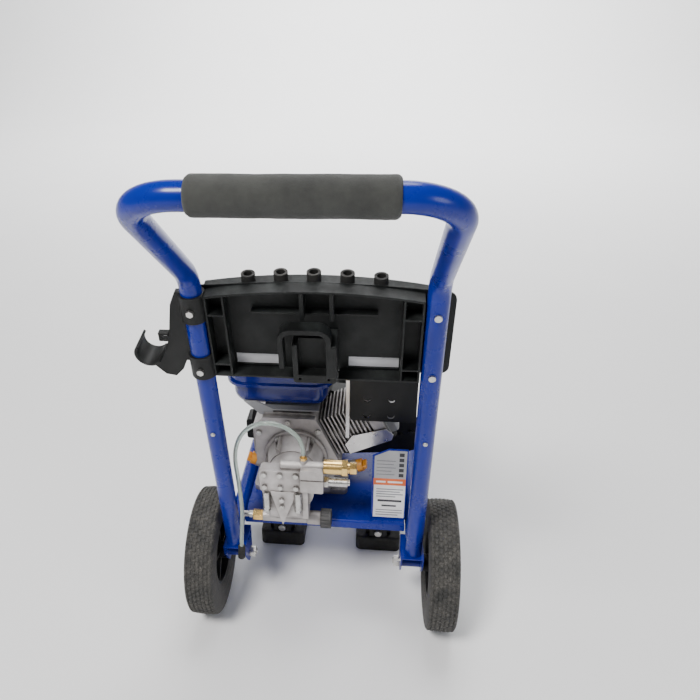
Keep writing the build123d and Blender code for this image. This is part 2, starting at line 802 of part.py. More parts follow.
def rocker_cover():
    """Pressed cover over the valve gear at the cylinder's end."""
    start = head_end()
    lid = block(start, start + 22, -35, 23, -35, 35)
    lid = fillet(lid.edges().group_by(Axis.X)[-1], 7)
    flange = block(start, start + 3, -39, 27, -40, 40)
    return TILT.location * (lid + flange)


def spark_plug():
    """Spark plug in the head's lower front corner, with its rubber boot."""
    start = head_end() - 12
    plug = Pos(start, -40 - 7, -20) * Rot(X=90) * Cylinder(8, 14)
    boot = Pos(start, -40 - 14 - 12, -20) * Rot(X=90) * Cylinder(10.5, 24)
    return TILT.location * (plug + boot)


def cylinder_shroud():
    """Sheet guard along the lower rear side of the cylinder and head."""
    end = head_end()
    points = [(98, -44), (end, -44), (end + 8, -34), (end, -16), (120, -6), (98, -20)]
    face = case_length / 2
    sheet = Pos(0, 0, face) * make_face(Polyline(*points, close=True))
    lip = block(98, end, -44, -42.5, face - 18, face + 1.5)
    riser = block(38, 45, case_rear_y - 1.5, case_rear_y, crank_z + 40, tank_top_z - 28)
    return TILT.location * (extrude(sheet, 1.5) + lip) + riser


def muffler():
    """Silencer box above the head, with its inlet elbow and outlet pipe."""
    body = block(58, 158, 90, 150, 446, 494)
    body = fillet(body.edges().filter_by(Axis.X), 16)
    seam = block(106, 109, 88, 152, 444, 496)
    seam = fillet(seam.edges().filter_by(Axis.X), 17)
    outlet = rod((150, 121, outlet_z), (168, 121, outlet_z), 9)
    outlet -= rod((158, 121, outlet_z), (169, 121, outlet_z), 7)
    inlet = block(80, 98, 105, 125, 400, 450)
    head = TILT.location * block(0, 300, -100, 28, -100, 100)
    return body + seam + outlet + (inlet - head)


def muffler_guard():
    """Pressed heat guard round the silencer, with crescent louvres, open underneath."""
    x0, x1, y0, y1, z0, z1 = 46, 172, 80, 160, guard_bottom_z, guard_top_z
    sheet = 1.5
    shell = block(x0, x1, y0, y1, z0, z1)
    shell = fillet(shell.edges().filter_by(Axis.Y), 8)
    inner = block(x0 + sheet, x1 - sheet, y0 + sheet, y1 + 1, z0 - 9, z1 - sheet)
    shell -= fillet(inner.edges().filter_by(Axis.Y).group_by(Axis.Z)[-1], 8 - sheet)
    shell -= block(x0 - 1, x1 + 1, y0 + sheet, y1 + 1, z0 - 1, z0 + 34)
    for x, z in ((78, 421), (124, 421), (78, 458), (124, 458)):
        shell -= crescent(x, z, y0)
    tab = block(100, 112, y1 - 1.5, y1, z1 - 12, z1 - 1)
    return shell + tab - rod((x1 - 5, 121, outlet_z), (x1 + 5, 121, outlet_z), 12)


def crescent(x, z, y):
    """Crescent-shaped opening in the guard's rear wall."""
    moon = Circle(7) - Pos(0, 4, 0) * Circle(7)
    return extrude(side(y + 4) * Pos(x, z, 0) * moon, 8)


def air_cleaner():
    """Air cleaner: base plate, lid and wing nut."""
    base = block(56, 168, 182, 264, 404, 420)
    base = fillet(base.edges().filter_by(Axis.Z), 14)
    lid = block(60, 164, 186, 260, 420, 505)
    lid = fillet(lid.edges().filter_by(Axis.Z), 14)
    lid = fillet(lid.edges().group_by(Axis.Z)[-1], 10)
    stud = rod((112, 223, 505), (112, 223, 512), 4)
    nut = block(98, 126, 221, 225, 508, 520)
    return base + lid + stud + nut


def carburettor():
    """Carburettor below the air cleaner: throat, float bowl and flange."""
    throat = rod((112, 180, 384), (112, 240, 384), 16)
    bowl = rod((112, 210, 340), (112, 210, 372), 20)
    neck = block(98, 126, 190, 230, 372, 404)
    flange = block(86, 138, 178, 184, 362, 404)
    linkage = block(124, 136, 196, 226, 376, 396)
    linkage += block(112, 132, 202, 218, 348, 364)
    return throat + bowl + neck + flange + linkage


def choke_lever():
    """Choke lever on the carburettor's outer side."""
    hub = rod((136.3, 211, 388), (142, 211, 388), 6)
    arm = block(138, 141, 205, 258, 385, 391)
    knob = rod((138, 258, 388), (150, 258, 388), 7)
    return hub + arm + knob


def fuel_tap():
    """Fuel tap lever under the choke lever."""
    hub = rod((132.3, 210, 356), (138, 210, 356), 7)
    arm = block(133, 137, 207, 240, 353, 359)
    return hub + arm


def blower_housing():
    """Pressed fan housing between crankcase and starter, with its air duct to the cylinder."""
    middle = (crank_x, case_front_y, crank_z), (crank_x, blower_front_y, crank_z)
    drum = rod(*middle, blower_radius) & under_tank(1)
    shape = Polyline((0, -90), (140, -42), (140, 28), (60, 70), (0, 90), close=True)
    duct = Pos(0, case_length / 2 + 34, 0) * TILT.location * extrude(make_face(shape), 34)
    body = drum + duct
    body -= block(-400, 400, 0, 400, 0, deck_top + 8) + block(84, 300, 0, 400, 0, 600)
    body -= rod((crank_x, case_front_y + 2, crank_z), (crank_x, blower_front_y + 1, crank_z),
                blower_radius - 2) & under_tank(3)
    body -= rod((crank_x, case_front_y - 1, crank_z), (crank_x, case_front_y + 3, crank_z), 30)
    rest = block(crank_x + 70, crank_x + 108, blower_front_y - 5, blower_front_y - 0.5,
                 crank_z + 48, crank_z + 82)
    apron = [(0, 250), (124, 261), (150, 258), (186, 274), (186, 354), (84, 336), (0, 336)]
    apron = outline(apron, side(case_front_y + 4), 4)
    for x, z in ((148, 308), (170, 317)):
        apron += hex_bar((x, case_front_y, z), (x, case_front_y - 5, z), 9)
    apron -= rod((crank_x, case_front_y - 1, crank_z), (crank_x, case_front_y + 5, crank_z), 60)
    return body - block(48, 300, case_front_y, 400, 392, 500) + rest + switch_box() + apron


def under_tank(gap):
    """The space under the fuel tank, which flattens the top of the fan housing."""
    return block(-400, 400, 0, 400, 0, tank_bottom_z - gap)


def recoil_cover():
    """Starter cover: domed drum with air slots and an exit eye for the rope."""
    line = (crank_x, blower_front_y, crank_z), (crank_x, recoil_front_y, crank_z)
    drum = rod(*line, blower_radius - 12)
    drum = fillet(drum.edges().group_by(Axis.Y)[-1], 16)
    drum += rod((crank_x, blower_front_y, crank_z), (crank_x, blower_front_y + 3, crank_z), blower_radius - 1)
    drum -= block(-400, 400, 0, 400, 0, deck_top + 8)
    cavity = rod((crank_x, blower_front_y - 1, crank_z), (crank_x, recoil_front_y - 4, crank_z),
                 blower_radius - 18)
    drum -= cavity
    for step in range(12):
        angle = radians(30 * step + 15)
        for reach in (46, 66):
            x, z = crank_x + reach * cos(angle), crank_z + reach * sin(angle)
            slot = Pos(x, recoil_front_y, z) * Rot(Y=-degrees(angle)) * Box(12, 20, 5)
            drum -= slot
    eye_start, eye_end = rope_line(0), rope_line(12)
    drum += rod(eye_start, eye_end, 11)
    return drum - rod(rope_line(-40), rope_line(20), 3.5) - cavity


def rope_line(distance):
    """Point on the starter rope's line, measured out from the starter cover's rim."""
    spool = 60.0
    rim_distance = ((blower_radius - 12) ** 2 - spool ** 2) ** 0.5
    leave = Vector(crank_x - 0.8 * spool, blower_front_y + 20, crank_z - 0.6 * spool)
    return tuple(leave + Vector(-0.6, 0, 0.8) * (rim_distance + distance))


def recoil_grip():
    """Starter grip with the straight first length of its rope."""
    stem = rod(rope_line(12.5), rope_line(24), 7)
    centre = Vector(*rope_line(30))
    bar = rod(tuple(centre - Vector(0, 31, 0)), tuple(centre + Vector(0, 31, 0)), 8)
    bar = fillet(bar.edges(), 4)
    rope = rod(rope_line(-134), rope_line(13), 2.2)
    return stem + bar + rope


def crankshaft():
    """Crankshaft: journals, webs, crank pin, taper for the flywheel, and the pump end."""
    shaft = on_crank(6, case_rear_y + 14, crank_radius)
    shaft += on_crank(crank_y + 16, blower_front_y - 6, crank_radius)
    for y in (crank_y - 26, crank_y + 16):
        shaft += on_crank(y, y + 10, 46)
    throw = stroke / 2
    pin = rod((crank_x, crank_y - 20, crank_z - throw), (crank_x, crank_y + 20, crank_z - throw), 15)
    return shaft + pin + on_crank(case_rear_y + 10, crank_y - 20, crank_radius)


def flywheel_fan():
    """Flywheel with its cooling fan blades and starter cup."""
    y0 = case_front_y + 16
    wheel = on_crank(y0, y0 + 16, 84)
    wheel += on_crank(y0 + 16, y0 + 52, 34) - on_crank(y0 + 19, y0 + 60, 31)
    for step in range(16):
        blade = block(-1.5, 1.5, y0 + 16, y0 + 40, 46, 80)
        wheel += Pos(crank_x, 0, crank_z) * Rot(Y=22.5 * step) * blade
    return wheel - on_crank(y0 - 1, y0 + 60, crank_radius)


def throttle_lever():
    """Throttle lever on top of the fan housing."""
    x, y, z = throttle_pivot()
    hub = rod((x, y, z), (x, y + 5, z), 7)
    arm = block(x - 3, x + 3, y + 1, y + 4, z, z + 46)
    tip = block(x - 5, x + 5, y + 1, y + 12, z + 34, z + 46)
    return hub + arm + tip


def throttle_pivot():
    return crank_x + 99, blower_front_y - 0.2, crank_z + 66


def engine_switch():
    """Red rotary engine switch on the starter side."""
    place = switch_centre()
    y = place[1]
    disc = rod((place[0], y + 0.3, place[2]), (place[0], y + 8, place[2]), 14)
    bar = block(place[0] - 3.5, place[0] + 3.5, y + 8, y + 17, place[2] - 14, place[2] + 14)
    return disc + fillet(bar.edges(), 1.5)


def switch_box():
    """Black box that carries the engine switch beside the starter cover."""
    x, y, z = switch_centre()
    box = block(x - 20, x + 20, blower_front_y - 30, y, z - 26, z + 26)
    box = fillet(box.edges().filter_by(Axis.Y), 6)
    arm = block(x, x + 34, blower_front_y - 30, blower_front_y - 4, z - 14, z + 18)
    return box + arm - rod((crank_x, 0, crank_z), (crank_x, 400, crank_z), blower_radius - 1)


def switch_centre():
    return crank_x - blower_radius - 8, blower_front_y + 12, crank_z - 66


# ------------------------------------------------------------------ fuel tank
def rounded_slab(inset, low, high):
    """A slab with the tank's plan shape, drawn in by an inset."""
    slab = block(tank_left_x + inset, tank_right_x - inset, tank_rear_y + inset, tank_front_y - inset,
                 low, high)
    return fillet(slab.edges().filter_by(Axis.Z), max(tank_corner_radius - inset, 8))


def fuel_tank():
    """Two pressed halves joined at a rolled seam, with a filler neck."""
    tank = lower_half(0) + upper_half(0)
    tank += rounded_slab(0, tank_seam_z - 3, tank_seam_z + 3)
    cap_x, cap_y = cap_centre()
    tank += rod((cap_x, cap_y, tank_top_z - 12), (cap_x, cap_y, tank_top_z + 8), neck_radius + 3)
    tank -= lower_half(tank_wall) + upper_half(tank_wall)
    return tank - rod((cap_x, cap_y, tank_top_z - 20), (cap_x, cap_y, tank_top_z + 9), neck_radius)


def lower_half(wall):
    """The space inside the tank's lower half at a depth below its surface."""
    half = rounded_slab(tank_lower_inset + wall, tank_bottom_z + wall, tank_seam_z)
    return fillet(half.edges().group_by(Axis.Z)[0], 28 - wall)


def upper_half(wall):
    """The space inside the tank's upper half at a depth below its surface."""
    half = rounded_slab(tank_rim + wall, tank_seam_z, tank_top_z - wall)
    return fillet(half.edges().group_by(Axis.Z)[-1], 26 - wall)


def cap_centre():
    return (tank_left_x + tank_right_x) / 2, (tank_rear_y + tank_front_y) / 2 + 20


def fuel_cap():
    """Screw cap of the fuel tank with a ribbed edge."""
    x, y = cap_centre()
    base = tank_top_z + 8.3
    cap = rod((x, y, base), (x, y, base + 20), cap_radius)
    cap = fillet(cap.edges().group_by(Axis.Z)[-1], 4)
    plug = rod((x, y, base - 14), (x, y, base), neck_radius - 0.08)
    for step in range(18):
        angle = radians(20 * step)
        cap -= rod((x + (cap_radius + 1) * cos(angle), y + (cap_radius + 1) * sin(angle), base - 1),
                   (x + (cap_radius + 1) * cos(angle), y + (cap_radius + 1) * sin(angle), base + 15), 2)
    return cap + plug


def tank_bracket():
    """Black plate under the tank and the grey arm down to the case."""
    z = tank_bottom_z
    plate = block(crank_x - 62, crank_x + 46, 84, case_front_y, z - 3, z)
    plate += block(crank_x - 50, crank_x + 26, 90, case_front_y - 6, crank_z + case_top, z - 3)
    arm = [(crank_x - 101, z + 16), (crank_x - 77, z + 16), (crank_x - 44, z), (crank_x - 44, z - 8),
           (crank_x - 60, z - 15), (crank_x - 70, z - 13)]
    strut = outline(arm, side(88), 4)
    return plate + strut - lower_half(0) - case_space()


# ------------------------------------------------------------------ pump
def pump_bell():
    """Cast bell between engine and pump head, hollow round the wobble plate."""
    rear = pto_y - bell_length
    bell = on_crank(pto_y - 8, pto_y, bell_radius + 2)
    cone = Plane(origin=(crank_x, pto_y - 8, crank_z), z_dir=(0, -1, 0))
    bell += loft([cone * Circle(bell_radius - 4), cone.offset(bell_length - 8) * Circle(bell_radius - 12)])
    for step in range(6):
        rib = block(-2.5, 2.5, rear, pto_y - 8, bell_radius - 14, bell_radius - 1)
        bell += Pos(crank_x, 0, crank_z) * Rot(Y=60 * step + 30) * rib
    bell -= on_crank(rear - 1, pto_y + 1, bell_radius - 18)
    for x, z in bell_bolt_places():
        bell -= rod((x, pto_y - 9, z), (x, pto_y + 1, z), 3.1)
        bell -= rod((x, rear - 1, z), (x, pto_y - 8, z), 6.7)
    return bell


def pump_head():
    """Pump body casting: plunger block, side block, upper gallery and lower ports."""
    rear = pto_y - bell_length
    face = head_y - 15
    body = rod((crank_x, face + 12, crank_z), (crank_x, rear, crank_z), bell_radius - 14)
    left = block(-112, -33, face, -26, crank_z + 8, crank_z + 56)
    left = fillet(left.edges().filter_by(Axis.Y), 6)
    right = block(-37, 5, face - 4, -24, crank_z + 12, crank_z + 62)
    right = fillet(right.edges().filter_by(Axis.Y), 3)
    lower = block(-104, -28, face + 6, -12, crank_z - 54, crank_z + 10)
    lower += block(-104, -28, -16, 8, manifold_z + 6, crank_z - 30)
    gallery = rod((-73, head_y, unloader_z), (5, head_y, unloader_z), 9)
    web = block(-70, 0, head_y - 6, head_y + 6, crank_z + 30, unloader_z)
    barb_boss = rod((-32, head_y, unloader_z), (-32, head_y, unloader_z + 14), 7)
    gusset = outline([(-93, crank_z + 10), (-44, crank_z + 10), (-72, crank_z - 70)], side(face + 8), 10)
    column = block(-35, -24, face + 2, -14, crank_z - 56, crank_z + 14)
    casting = body + left + right + lower + gallery + web + barb_boss + gusset + column
    casting -= block(-36, 6, face - 5, face - 2, crank_z + 39, crank_z + 42)
    casting -= along_x(manifold_left_x, 0, manifold_y, manifold_z, manifold_radius)
    casting -= along_x(manifold_collar_x, 0, manifold_y, manifold_z, manifold_radius + 2)
    for place in plunger_places():
        casting -= rod((place[0], 1, place[1]), (place[0], rear + 1, place[1]), plunger_radius + 0.05)
    casting -= rod((crank_x, 2, crank_z), (crank_x, rear + 1, crank_z), crank_radius + 1)
    casting -= rod((-32, head_y, unloader_z), (-32, head_y, unloader_z + 15), 4)
    for x in valve_places():
        casting -= rod((x, head_y - 15, 0), (x, head_y - 15, crank_z + 8), cap_seat_radius)
    return casting


def plunger_places():
    return [(crank_x + 27 * cos(radians(a)), crank_z + 27 * sin(radians(a))) for a in (90, 210, 330)]


def pump_plungers():
    """Three ceramic plungers that the wobble plate drives."""
    group = Part()
    for x, z in plunger_places():
        group += rod((x, 6, z), (x, 26, z), plunger_radius)
    return group


def wobble_plate():
    """Slanted disc on the pump end of the shaft."""
    disc = Pos(crank_x, 44, crank_z) * Rot(X=90) * Rot(X=7) * Cylinder(36, 12)
    hub = rod((crank_x, 34, crank_z), (crank_x, 58, crank_z), 20)
    return disc + hub - rod((crank_x, 0, crank_z), (crank_x, 80, crank_z), crank_radius)


def pump_manifold():
    """Lower cross tube that joins the garden-hose inlet and the pressure outlet."""
    right = manifold_right_x
    tube = along_x(manifold_left_x, right, manifold_y, manifold_z, manifold_radius)
    tube += along_x(manifold_collar_x, right, manifold_y, manifold_z, manifold_radius + 2)
    tube += along_x(right, right + 8, manifold_y, manifold_z, spigot_radius)
    tube += along_x(right + 5.2, right + 8, manifold_y, manifold_z, spigot_radius + 2.5)
    return tube - along_x(right - 40, right + 11, manifold_y, manifold_z, spigot_radius - 2)


def valve_places():
    return (-101, -42)


def pump_caps():
    """Steel valve caps under the head."""
    group = Part()
    for x in valve_places():
        y = head_y - 15
        group += rod((x, y, crank_z - 30), (x, y, crank_z + 8), cap_rod_radius)
        group += hex_bar((x, y, crank_z - 36), (x, y, crank_z - 30), 13)
    return group


def side_plug():
    """Dark threaded plug that closes the side block's cross bore."""
    plug = along_x(5, 48, head_y, plug_z, plug_radius)
    plug += along_x(48, 52, head_y, plug_z, plug_radius - 2.5)
    return plug + hex_bar((5, head_y, plug_z), (13, head_y, plug_z), 19)


def unloader_valve():
    """Brass unloader valve body that continues the upper gallery to the right."""
    body = along_x(5, 40, head_y, unloader_z, unloader_radius)
    body += hex_bar((38, head_y, unloader_z), (48, head_y, unloader_z), 27)
    body += along_x(48, 52, head_y, unloader_z, unloader_radius - 3)
    return body - along_x(38, 53, head_y, unloader_z, adjuster_radius + running_clearance)


def unloader_knob():
    """Brass adjuster that screws into the unloader valve."""
    head = hex_bar((52.3, head_y, unloader_z), (64, head_y, unloader_z), 20)
    return head + along_x(42, 53, head_y, unloader_z, adjuster_radius)


def brass_fittings():
    """Siphon barb on the upper gallery and hex adapter at the pressure outlet."""
    z = unloader_z + 14
    barb = rod((-32, head_y, unloader_z + 2), (-32, head_y, z), 3.9)
    barb += hex_bar((-32, head_y, z), (-32, head_y, z + 5), 12)
    barb += rod((-32, head_y, z + 5), (-32, head_y, z + 10), 3.2)
    adapter = hex_bar((manifold_left_x - adapter_length, manifold_y, manifold_z),
                      (manifold_left_x, manifold_y, manifold_z), 19)
    return barb + adapter


def outlet_nipple():
    """Steel quick-connect plug for the pressure hose."""
    start = manifold_left_x - adapter_length
    plug = along_x(start, start - 8, manifold_y, manifold_z, nipple_radius + 1)
    plug += along_x(start - 8, start - 12, manifold_y, manifold_z, nipple_radius - 0.8)
    plug += along_x(start - 12, start - 25, manifold_y, manifold_z, nipple_radius)
    return plug - along_x(start - 2, start - 26, manifold_y, manifold_z, 2.6)


def inlet_swivel():
    """Plastic garden-hose collar that turns on the inlet spigot."""
    start, end = manifold_right_x, manifold_right_x + swivel_length
    collar = fillet(along_x(start + 0.3, end, manifold_y, manifold_z, swivel_radius).edges(), 1.5)
    collar -= along_x(start + 8.3, end + 1, manifold_y, manifold_z, hose_thread_radius)
    collar -= along_x(start + 4.9, start + 8.4, manifold_y, manifold_z, spigot_radius + 2.6)
    collar -= along_x(start, start + 5, manifold_y, manifold_z, spigot_radius + 0.08)
    for step in range(14):
        angle = 2 * pi * step / 14
        y, z = manifold_y + (swivel_radius + 1) * cos(angle), manifold_z + (swivel_radius + 1) * sin(angle)
        collar -= rod((manifold_right_x - 1, y, z), (manifold_right_x + 17, y, z), 2.2)
    return collar


def route_radii(points):
    """Arc at each corner: 0.45 of its shorter run over the tangent of half its turn."""
    radii = []
    for a, b, c in zip(points, points[1:], points[2:]):
        before, after = Vector(*b) - Vector(*a), Vector(*c) - Vector(*b)
        turn = radians(before.get_angle(after))
        radii.append(0.45 * min(before.length, after.length) / tan(turn / 2))
    return radii


def siphon_hose():
    """Clear hose from the siphon barb over and down beside the left upright."""
    radii = route_radii(hose_route)
    path = FilletPolyline(*hose_route, radius=radii)
    place = Plane(origin=path @ 0, z_dir=path % 0)
    hose = sweep(place * Circle(hose_radius), path=path)
    print("hose length", round(path.length, 1), "radii", [round(r, 1) for r in radii])
    print("hose volume over section times length", round(hose.volume / (pi * hose_radius ** 2 * path.length), 4))
    return hose


def hose_strainer():
    """Weighted strainer on the siphon hose's end."""
    end, before = Vector(*hose_route[-1]), Vector(*hose_route[-2])
    along = (end - before).normalized()
    body = rod(tuple(end), tuple(end + along * 30), 7)
    body = fillet(body.edges(), 2)
    for step in range(3):
        ring = end + along * (8 + 6 * step)
        body -= rod(tuple(ring), tuple(ring + along * 2), 8) - rod(tuple(ring), tuple(ring + along * 2), 6)
    return body


def export_all():
    os.makedirs("parts", exist_ok=True)
    right_upright, right_tyre, right_rim = lower_upright(), at_wheel(tyre()), at_wheel(rim())
    pieces = {
        "base_loop": base_loop(),
        "lower_upright_right": right_upright,
        "lower_upright_left": mirrored(right_upright),
        "deck_tray": deck_tray(),
        "foot_legs": foot_leg() + mirrored(foot_leg()),
        "rubber_feet": rubber_foot() + mirrored(rubber_foot()),
        "fasteners": frame_fasteners() + axle_bolt() + mirrored(axle_bolt()) + flange_bolts(),
        "tyre_right": right_tyre,
        "tyre_left": mirrored(right_tyre),
        "rim_right": right_rim,
        "rim_left": mirrored(right_rim),
        "handle_tube": handle_tube(),
        "foam_grip": foam_grip(),
        "snap_button_right": snap_button(upright_x),
        "snap_button_left": snap_button(-upright_x),
        "control_panel": control_panel(),
        "panel_walls": panel_walls(),
        "nozzle_rack": nozzle_rack(),
        "nozzle_grommets": nozzle_grommets(),
        "trim_strip": trim_strip(),
        "hose_hook": hose_hook(),
        "gun_holder": gun_holder(),
        "panel_screws": panel_screws(),
        "crankcase": crankcase(),
        "crankcase_cover": crankcase_cover(),
        "cylinder_barrel": cylinder_barrel(),
        "rocker_cover": rocker_cover(),
        "spark_plug": spark_plug(),
        "cylinder_shroud": cylinder_shroud(),
        "muffler": muffler(),
        "muffler_guard": muffler_guard(),
        "air_cleaner": air_cleaner(),
        "carburettor": carburettor(),
        "choke_lever": choke_lever(),
        "fuel_tap": fuel_tap(),
        "blower_housing": blower_housing(),
        "recoil_cover": recoil_cover(),
        "recoil_grip": recoil_grip(),
        "crankshaft": crankshaft(),
        "flywheel_fan": flywheel_fan(),
        "throttle_lever": throttle_lever(),
        "engine_switch": engine_switch(),
        "oil_cap_left": oil_cap(-1),
        "oil_cap_right": oil_cap(1),
        "fuel_tank": fuel_tank(),
        "fuel_cap": fuel_cap(),
        "tank_bracket": tank_bracket(),
        "pump_bell": pump_bell(),
        "pump_head": pump_head(),
        "pump_plungers": pump_plungers(),
        "wobble_plate": wobble_plate(),
        "pump_manifold": pump_manifold(),
        "pump_caps": pump_caps() + side_plug(),
        "unloader_valve": unloader_valve(),
        "unloader_knob": unloader_knob(),
        "brass_fittings": brass_fittings(),
        "outlet_nipple": outlet_nipple(),
        "inlet_swivel": inlet_swivel(),
        "siphon_hose": siphon_hose(),
        "hose_strainer": hose_strainer(),
    }
    print(len(pieces), "pieces")
    for name, shape in pieces.items():
        export_step(shape, f"parts/{name}.step")


export_all()
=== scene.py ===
import json
import math

import bmesh
import bpy
from mathutils import Matrix, Vector, noise


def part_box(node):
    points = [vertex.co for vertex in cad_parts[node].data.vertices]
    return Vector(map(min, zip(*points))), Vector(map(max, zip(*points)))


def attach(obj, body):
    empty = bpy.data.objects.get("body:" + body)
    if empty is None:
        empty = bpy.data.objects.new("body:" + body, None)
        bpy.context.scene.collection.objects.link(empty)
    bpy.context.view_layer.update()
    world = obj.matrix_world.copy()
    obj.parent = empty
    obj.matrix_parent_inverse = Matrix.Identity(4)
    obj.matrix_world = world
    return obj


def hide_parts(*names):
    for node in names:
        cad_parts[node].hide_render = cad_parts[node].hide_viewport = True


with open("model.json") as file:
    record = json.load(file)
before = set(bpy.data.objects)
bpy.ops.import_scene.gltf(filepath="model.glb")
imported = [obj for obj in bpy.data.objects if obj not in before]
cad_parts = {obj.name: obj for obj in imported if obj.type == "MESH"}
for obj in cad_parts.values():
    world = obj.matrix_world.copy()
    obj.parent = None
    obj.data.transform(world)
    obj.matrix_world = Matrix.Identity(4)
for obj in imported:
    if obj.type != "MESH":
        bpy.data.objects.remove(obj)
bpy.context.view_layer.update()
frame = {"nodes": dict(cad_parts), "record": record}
NODES = frame["nodes"]
MM = 0.001
ROOT = "machine"
FULL_TURN = 2 * math.pi


# ------------------------------------------------------------------ node helpers
class Look:
    """One node material: a Principled shader with helpers for its textures."""

    def __init__(self, name):
        self.mat = bpy.data.materials.new(name)
        self.mat.use_nodes = True
        self.tree = self.mat.node_tree
        self.shader = self.tree.nodes["Principled BSDF"]
        coords = self.tree.nodes.new("ShaderNodeTexCoord")
        self.where = coords.outputs["Object"]

    def set(self, **values):
        for key, value in values.items():
            self.shader.inputs[key.replace("_", " ")].default_value = value

    def add(self, kind, links=None, **props):
        node = self.tree.nodes.new(kind)
        for key, value in props.items():
            setattr(node, key, value)
        for key, value in (links or {}).items():
            socket = node.inputs[key]
            if isinstance(value, bpy.types.NodeSocket):
                self.tree.links.new(value, socket)
            else:
                socket.default_value = value
        return node

    def noise(self, scale, detail=3.0, rough=0.55, stretch=None):
        where = self.where
        if stretch:
            where = self.add("ShaderNodeMapping", {"Vector": where, "Scale": stretch}).outputs[0]
        return self.add("ShaderNodeTexNoise", {
            "Vector": where, "Scale": scale, "Detail": detail, "Roughness": rough}).outputs["Fac"]

    def ramp(self, fac, low, high, start=0.0, end=1.0):
        node = self.add("ShaderNodeMapRange", {
            "Value": fac, "From Min": low, "From Max": high, "To Min": start, "To Max": end})
        node.clamp = True
        return node.outputs[0]

    def math(self, kind, a, b=0.0):
        return self.add("ShaderNodeMath", {0: a, 1: b}, operation=kind).outputs[0]

    def mix(self, fac, a, b):
        node = self.tree.nodes.new("ShaderNodeMix")
        node.data_type = "RGBA"
        for index, value in ((0, fac), (6, a), (7, b)):
            socket = node.inputs[index]
            if isinstance(value, bpy.types.NodeSocket):
                self.tree.links.new(value, socket)
            elif index:
                socket.default_value = (*value, 1.0)
            else:
                socket.default_value = value
        return node.outputs[2]

    def wire(self, output, name):
        self.tree.links.new(output, self.shader.inputs[name])

    def edges(self, radius):
        """Rounded normal, and a mask that is 1 on edges nearer than the radius."""
        round_off = self.add("ShaderNodeBevel", {"Radius": radius}, samples=4)
        flat = self.add("ShaderNodeNewGeometry")
        dot = self.add("ShaderNodeVectorMath", {0: round_off.outputs[0], 1: flat.outputs["Normal"]},
                       operation="DOT_PRODUCT").outputs["Value"]
        return round_off.outputs[0], self.ramp(dot, 0.90, 0.70)

    def bump(self, height, strength, distance, normal=None):
        links = {"Height": height, "Strength": strength, "Distance": distance}
        if normal is not None:
            links["Normal"] = normal
        return self.add("ShaderNodeBump", links).outputs[0]


def finish_look(name, base, second, rough, metal=0.0, patch=6.0, grain=900.0, depth=0.0002,
                strength=0.3, soft=0.0009, worn=None, wear=0.0, dust=None, dusty=0.0,
                coat=0.0, shine=0.5, grime_and_crevice_shade=0.0, stretch=None):
    """A weathered surface: patchy colour, varied gloss, fine grain, worn edges, settled dust and dirt-tinted
    painted shade in its hollows.
    """
    look = Look(name)
    look.set(Metallic=metal, Coat_Weight=coat, Coat_Roughness=0.12, Specular_IOR_Level=shine)
    patches = look.noise(patch, 5.0, 0.6, stretch)
    colour = look.mix(look.ramp(patches, 0.35, 0.68), base, second)
    rounded, edge = look.edges(soft) if soft else (None, None)
    if wear:
        chips = look.ramp(look.noise(140.0, 4.0, 0.7), 0.5, 0.62)
        colour = look.mix(look.math("MULTIPLY", look.math("MULTIPLY", edge, chips), wear), colour, worn)
    if dusty:
        up = look.add("ShaderNodeSeparateXYZ", {0: look.add("ShaderNodeNewGeometry").outputs["Normal"]})
        facing = look.ramp(up.outputs[2], 0.1, 0.95)
        cloud = look.ramp(look.noise(22.0, 6.0, 0.65), 0.42, 0.7)
        settled = look.math("MULTIPLY", look.math("ADD", look.math("MULTIPLY", facing, 0.7), 0.3), cloud)
        colour = look.mix(look.math("MULTIPLY", settled, dusty), colour, dust)
    # Painted shade: ambient occlusion lays a dirt-brown darkening into hollows and crevices, mottled by noise;
    # partly grime, mostly painted crevice shade.
    if grime_and_crevice_shade:
        hollow = look.add("ShaderNodeAmbientOcclusion", {"Distance": 0.014}, samples=6).outputs["AO"]
        shade_in_recesses = look.math("MULTIPLY", look.ramp(hollow, 0.92, 0.35),
                          look.ramp(look.noise(75.0, 5.0, 0.7), 0.25, 0.6, 0.45, 1.0))
        colour = look.mix(look.math("MULTIPLY", shade_in_recesses, grime_and_crevice_shade), colour, (0.055, 0.043, 0.036))
    look.wire(colour, "Base Color")
    low, high = rough
    look.wire(look.ramp(look.noise(patch * 3.3, 6.0, 0.7), 0.3, 0.7, low, high), "Roughness")
    look.wire(look.bump(look.noise(grain, 3.0, 0.6), strength, depth, rounded), "Normal")
    return look


LOOKS = {}
LOOKS["blue"] = finish_look("blue_paint", (0.0003, 0.0130, 0.265), (0.0003, 0.0105, 0.215), (0.25, 0.31),
                            grain=420.0, depth=0.00005, strength=0.12, soft=0.0,
                            dust=(0.02, 0.05, 0.22), dusty=0.05, coat=0.12, shine=0.3)
LOOKS["tank"] = finish_look("tank_paint", (0.0010, 0.0075, 0.150), (0.0010, 0.0055, 0.105), (0.14, 0.26),
                            grain=300.0, depth=0.00005, strength=0.2, dust=(0.06, 0.07, 0.14), dusty=0.12,
                            coat=0.35, shine=0.35)
